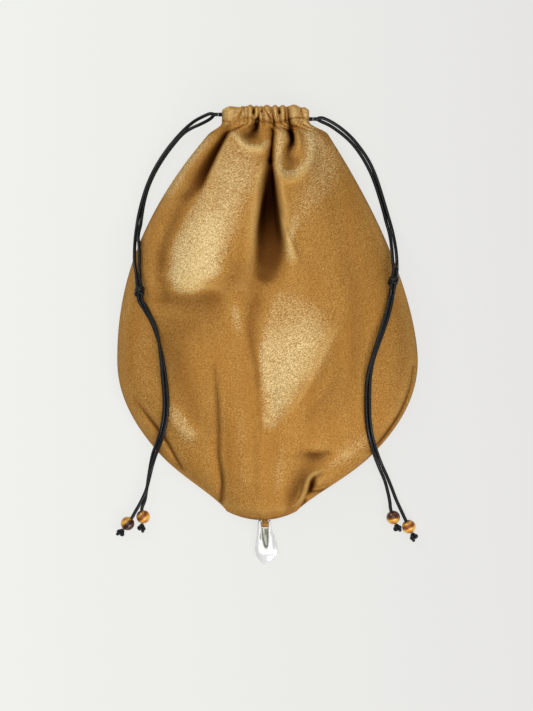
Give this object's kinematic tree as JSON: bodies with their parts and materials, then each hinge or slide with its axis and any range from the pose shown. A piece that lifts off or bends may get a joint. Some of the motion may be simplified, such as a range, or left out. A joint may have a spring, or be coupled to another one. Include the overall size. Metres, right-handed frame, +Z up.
{
  "type": "drawstring pouch",
  "caption": "Gathered satin potli pouch with paired black drawcords, bead ends and a silver drop pendant, lying on its back.",
  "frame": {"origin": "on the floor under the flat middle of the back panel, on the bag's centre line", "axes": "+Y from the bag's bottom to its gathered mouth, +Z up out of the back panel towards the front, +X to the right seen from the front"},
  "size_m": [0.1754, 0.2661, 0.0309],
  "materials": {
    "gold_satin": "metallic satin with a fine sparkle",
    "black_cord": "waxed twisted cord",
    "tiger_eye": "polished banded stone",
    "silver": "polished cast silver"
  },
  "bodies": {
    "bag": {"front_panel": "gold_satin", "back_panel": "gold_satin", "pendant_tab": "gold_satin", "left_cord_in_casing": "black_cord", "left_cord_upper_a": "black_cord", "left_cord_lower_a": "black_cord", "left_stopper_knot_a": "black_cord", "left_cord_upper_b": "black_cord", "left_cord_lower_b": "black_cord", "left_stopper_knot_b": "black_cord", "left_knot": "black_cord", "right_cord_in_casing": "black_cord", "right_cord_upper_a": "black_cord", "right_cord_lower_a": "black_cord", "right_stopper_knot_a": "black_cord", "right_cord_upper_b": "black_cord", "right_cord_lower_b": "black_cord", "right_stopper_knot_b": "black_cord", "right_knot": "black_cord"},
    "pendant": {"silver_pendant": "silver"},
    "left_bead_a": {"left_bead_a": "tiger_eye"},
    "left_bead_b": {"left_bead_b": "tiger_eye"},
    "right_bead_a": {"right_bead_a": "tiger_eye"},
    "right_bead_b": {"right_bead_b": "tiger_eye"}
  },
  "joints": [
    {"name": "pendant_swing", "type": "hinge", "parent": "bag", "child": "pendant", "pos_m": [-0.0006, -0.1074, 0.0046], "axis": [1, 0, 0], "range_deg": [-85, 70]},
    {"name": "left_bead_a_turn", "type": "hinge", "parent": "bag", "child": "left_bead_a", "pos_m": [-0.0816, -0.107, 0.004], "axis": [-0.6, -0.8, 0], "continuous": true},
    {"name": "left_bead_b_turn", "type": "hinge", "parent": "bag", "child": "left_bead_b", "pos_m": [-0.0725, -0.103, 0.004], "axis": [-0.15, -0.9887, 0], "continuous": true},
    {"name": "right_bead_a_turn", "type": "hinge", "parent": "bag", "child": "right_bead_a", "pos_m": [0.0824, -0.1088, 0.004], "axis": [0.44, -0.898, 0], "continuous": true},
    {"name": "right_bead_b_turn", "type": "hinge", "parent": "bag", "child": "right_bead_b", "pos_m": [0.0733, -0.1034, 0.004], "axis": [0.36, -0.933, 0], "continuous": true}
  ]
}
